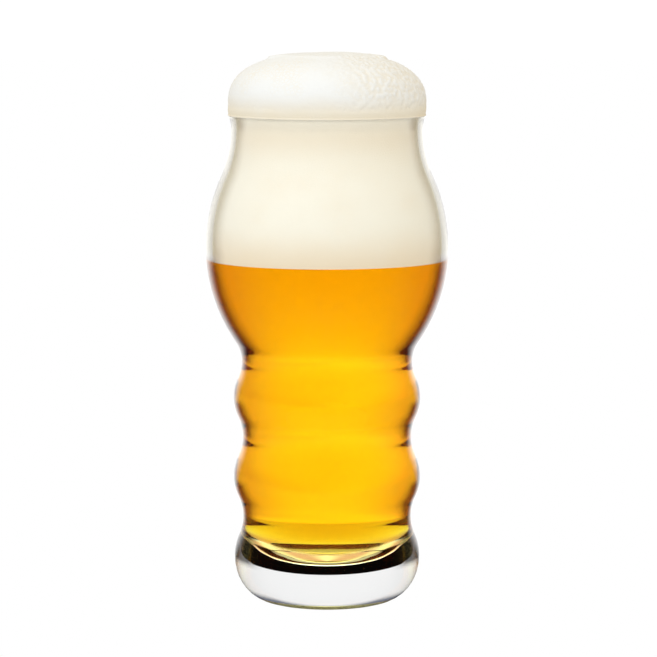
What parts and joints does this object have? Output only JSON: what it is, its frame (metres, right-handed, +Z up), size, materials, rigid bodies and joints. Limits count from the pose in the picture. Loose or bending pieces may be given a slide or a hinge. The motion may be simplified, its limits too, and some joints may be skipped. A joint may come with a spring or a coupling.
{
  "type": "tulip beer glass",
  "caption": "Filled tulip beer glass: thick-based glass with a ringed grip and a round bowl that narrows to the lip, holding amber beer under a domed foam head.",
  "frame": {"origin": "centre of the ring that the glass stands on, in the plane of the table", "axes": "+Z up along the glass's axis; +X and +Y are alike because the glass is round"},
  "size_m": [0.0878, 0.0878, 0.1992],
  "materials": {
    "clear_glass": "clear polished soda-lime glass",
    "amber_beer": "clear amber liquid",
    "cream_foam": "fine cream-coloured froth, matt",
    "white_foam": "off-white froth with small bubbles, matt"
  },
  "bodies": {
    "root": {"glass": "clear_glass", "beer": "amber_beer", "foam_head": "cream_foam", "foam_crown": "white_foam"}
  },
  "joints": []
}
